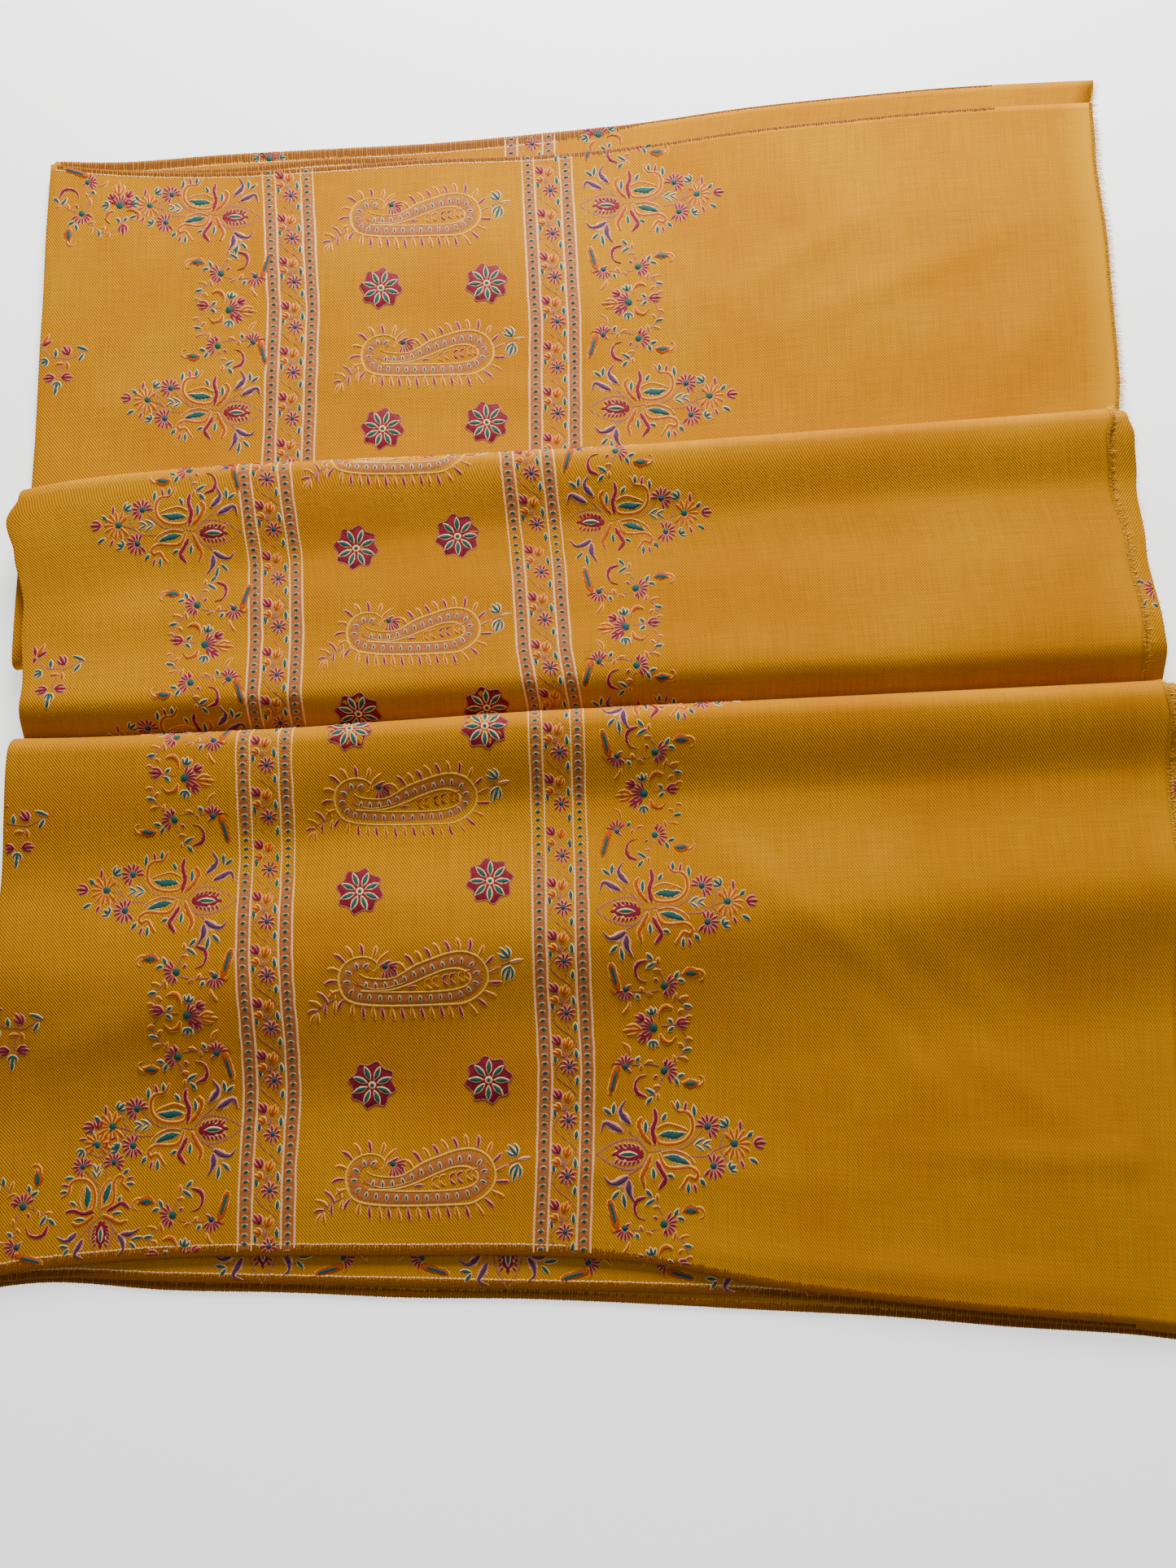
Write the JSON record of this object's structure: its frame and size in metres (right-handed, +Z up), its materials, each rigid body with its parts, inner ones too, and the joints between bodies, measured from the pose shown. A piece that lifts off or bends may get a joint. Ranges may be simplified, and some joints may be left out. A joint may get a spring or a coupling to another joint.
{
  "type": "folded embroidered pashmina shawl",
  "caption": "Embroidered pashmina shawl, folded in quarters and laid flat in shingled tiers with fringed raw ends, to lie on a shelf or table or hang over a rail.",
  "frame": {"origin": "middle of the shawl's box, at the surface it lies on", "axes": "+X along the pleats, from the left folds to the fringed raw ends; +Y from the near selvedge to the far one, across the tiers; +Z up"},
  "size_m": [0.519, 0.5788, 0.0208],
  "materials": {
    "face_cloth": "soft matt wool twill with a faint sheen",
    "lower_cloth": "soft matt wool twill",
    "frayed_warp": "loose fuzzy wool yarn"
  },
  "bodies": {
    "root": {"face_far": "face_cloth", "face_middle": "face_cloth", "face_near": "face_cloth", "folded_layers": "lower_cloth", "reverse_far": "lower_cloth", "middle_near": "lower_cloth", "reverse_near": "lower_cloth", "fringe_far": "frayed_warp", "fringe_middle": "frayed_warp", "fringe_near": "frayed_warp"}
  },
  "joints": []
}
